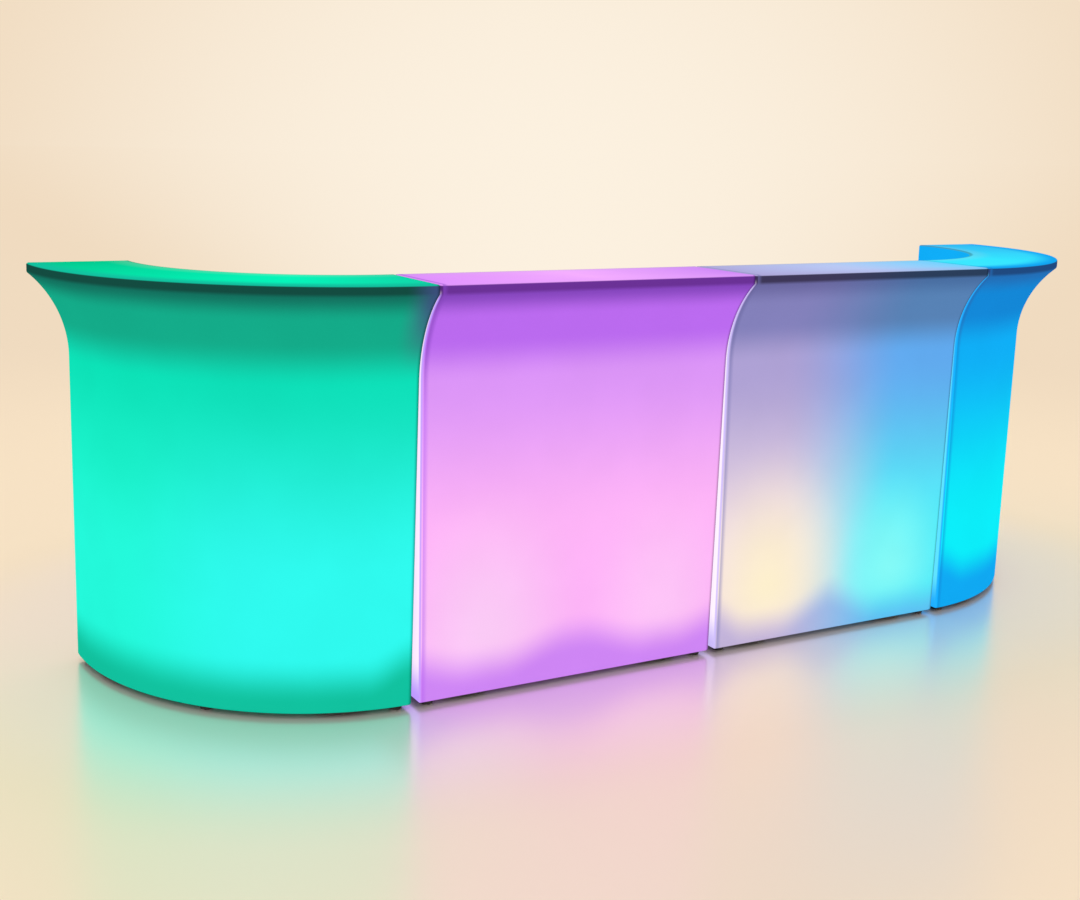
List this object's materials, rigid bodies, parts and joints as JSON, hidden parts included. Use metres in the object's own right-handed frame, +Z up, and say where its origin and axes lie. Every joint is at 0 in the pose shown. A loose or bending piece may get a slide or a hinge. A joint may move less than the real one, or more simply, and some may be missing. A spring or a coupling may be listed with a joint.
{
  "type": "portable bar counter",
  "caption": "Lit, hollow bar counter with a flared front, quarter round ends, a rear storage recess with a shelf, and units clamped side by side.",
  "frame": {"origin": "on the floor, in the middle of the counter's outline", "axes": "+X along the counter to the right as customers see it, the front faces -Y, +Z up"},
  "size_m": [3.425, 0.81, 1.1],
  "materials": {
    "shell_green": "satin",
    "shell_violet": "satin",
    "shell_pearl": "satin",
    "shell_blue": "satin",
    "shelf_white": "satin",
    "rubber_black": "matte",
    "plastic_black": "satin",
    "battery_wrap": "gloss",
    "board_white": "gloss",
    "diffuser": "frosted",
    "button_red": "gloss",
    "socket_metal": "polished",
    "steel_zinc": "zinc plated",
    "wire_red": "satin"
  },
  "bodies": {
    "root": {"left_end_shell": "shell_green", "left_end_shelf": "shelf_white", "left_end_feet": "rubber_black", "left_end_lamp_plates": "plastic_black", "left_end_lamp_seals": "rubber_black", "left_end_battery_packs": "battery_wrap", "left_end_led_boards": "board_white", "left_end_lamp_domes": "diffuser", "left_end_control_plate": "plastic_black", "left_end_charge_socket": "socket_metal", "left_straight_shell": "shell_violet", "left_straight_shelf": "shelf_white", "left_straight_feet": "rubber_black", "left_straight_lamp_plates": "plastic_black", "left_straight_lamp_seals": "rubber_black", "left_straight_battery_packs": "battery_wrap", "left_straight_led_boards": "board_white", "left_straight_lamp_domes": "diffuser", "left_straight_control_plate": "plastic_black", "left_straight_charge_socket": "socket_metal", "right_straight_shell": "shell_pearl", "right_straight_shelf": "shelf_white", "right_straight_feet": "rubber_black", "right_straight_lamp_plates": "plastic_black", "right_straight_lamp_seals": "rubber_black", "right_straight_battery_packs": "battery_wrap", "right_straight_led_boards": "board_white", "right_straight_lamp_domes": "diffuser", "right_straight_control_plate": "plastic_black", "right_straight_charge_socket": "socket_metal", "right_end_shell": "shell_blue", "right_end_shelf": "shelf_white", "right_end_feet": "rubber_black", "right_end_lamp_plates": "plastic_black", "right_end_lamp_seals": "rubber_black", "right_end_battery_packs": "battery_wrap", "right_end_led_boards": "board_white", "right_end_lamp_domes": "diffuser", "right_end_control_plate": "plastic_black", "right_end_charge_socket": "socket_metal", "clamp_bolts": "steel_zinc", "lamp_screws": "steel_zinc", "plate_screws": "steel_zinc", "foot_screws": "steel_zinc", "wiring": "wire_red"},
    "left_end_button": {"left_end_power_button": "button_red"},
    "left_end_flap": {"left_end_charge_flap": "rubber_black"},
    "left_straight_button": {"left_straight_power_button": "button_red"},
    "left_straight_flap": {"left_straight_charge_flap": "rubber_black"},
    "right_straight_button": {"right_straight_power_button": "button_red"},
    "right_straight_flap": {"right_straight_charge_flap": "rubber_black"},
    "right_end_button": {"right_end_power_button": "button_red"},
    "right_end_flap": {"right_end_charge_flap": "rubber_black"},
    "left_joint_lower_knob": {"left_joint_lower_knob": "plastic_black"},
    "left_joint_upper_knob": {"left_joint_upper_knob": "plastic_black"},
    "middle_joint_lower_knob": {"middle_joint_lower_knob": "plastic_black"},
    "middle_joint_upper_knob": {"middle_joint_upper_knob": "plastic_black"},
    "right_joint_lower_knob": {"right_joint_lower_knob": "plastic_black"},
    "right_joint_upper_knob": {"right_joint_upper_knob": "plastic_black"}
  },
  "joints": [
    {"name": "left_end_button_press", "type": "slide", "parent": "root", "child": "left_end_button", "axis": [1, 0, 0], "range_m": [0, 0.0025], "stiffness_N_per_m": 300},
    {"name": "left_end_flap_hinge", "type": "hinge", "parent": "root", "child": "left_end_flap", "pos_m": [-0.9701, -0.158, 0.262], "axis": [0, 0, -1], "range_deg": [0, 110]},
    {"name": "left_straight_button_press", "type": "slide", "parent": "root", "child": "left_straight_button", "axis": [-1, 0, 0], "range_m": [0, 0.0025], "stiffness_N_per_m": 300},
    {"name": "left_straight_flap_hinge", "type": "hinge", "parent": "root", "child": "left_straight_flap", "pos_m": [-0.8349, -0.158, 0.262], "axis": [0, 0, 1], "range_deg": [0, 110]},
    {"name": "right_straight_button_press", "type": "slide", "parent": "root", "child": "right_straight_button", "axis": [-1, 0, 0], "range_m": [0, 0.0025], "stiffness_N_per_m": 300},
    {"name": "right_straight_flap_hinge", "type": "hinge", "parent": "root", "child": "right_straight_flap", "pos_m": [0.1021, -0.158, 0.262], "axis": [0, 0, 1], "range_deg": [0, 110]},
    {"name": "right_end_button_press", "type": "slide", "parent": "root", "child": "right_end_button", "axis": [-1, 0, 0], "range_m": [0, 0.0025], "stiffness_N_per_m": 300},
    {"name": "right_end_flap_hinge", "type": "hinge", "parent": "root", "child": "right_end_flap", "pos_m": [0.9701, -0.158, 0.262], "axis": [0, 0, 1], "range_deg": [0, 110]},
    {"name": "left_joint_lower_knob_turn", "type": "hinge", "parent": "root", "child": "left_joint_lower_knob", "pos_m": [-0.8265, -0.193, 0.43], "axis": [1, 0, 0], "range_deg": [0, 720]},
    {"name": "left_joint_upper_knob_turn", "type": "hinge", "parent": "root", "child": "left_joint_upper_knob", "pos_m": [-0.8385, -0.193, 0.96], "axis": [1, 0, 0], "range_deg": [0, 720]},
    {"name": "middle_joint_lower_knob_turn", "type": "hinge", "parent": "root", "child": "middle_joint_lower_knob", "pos_m": [0.1105, -0.193, 0.43], "axis": [1, 0, 0], "range_deg": [0, 720]},
    {"name": "middle_joint_upper_knob_turn", "type": "hinge", "parent": "root", "child": "middle_joint_upper_knob", "pos_m": [0.0985, -0.193, 0.96], "axis": [1, 0, 0], "range_deg": [0, 720]},
    {"name": "right_joint_lower_knob_turn", "type": "hinge", "parent": "root", "child": "right_joint_lower_knob", "pos_m": [0.9785, -0.193, 0.43], "axis": [1, 0, 0], "range_deg": [0, 720]},
    {"name": "right_joint_upper_knob_turn", "type": "hinge", "parent": "root", "child": "right_joint_upper_knob", "pos_m": [0.9665, -0.193, 0.96], "axis": [1, 0, 0], "range_deg": [0, 720]}
  ]
}
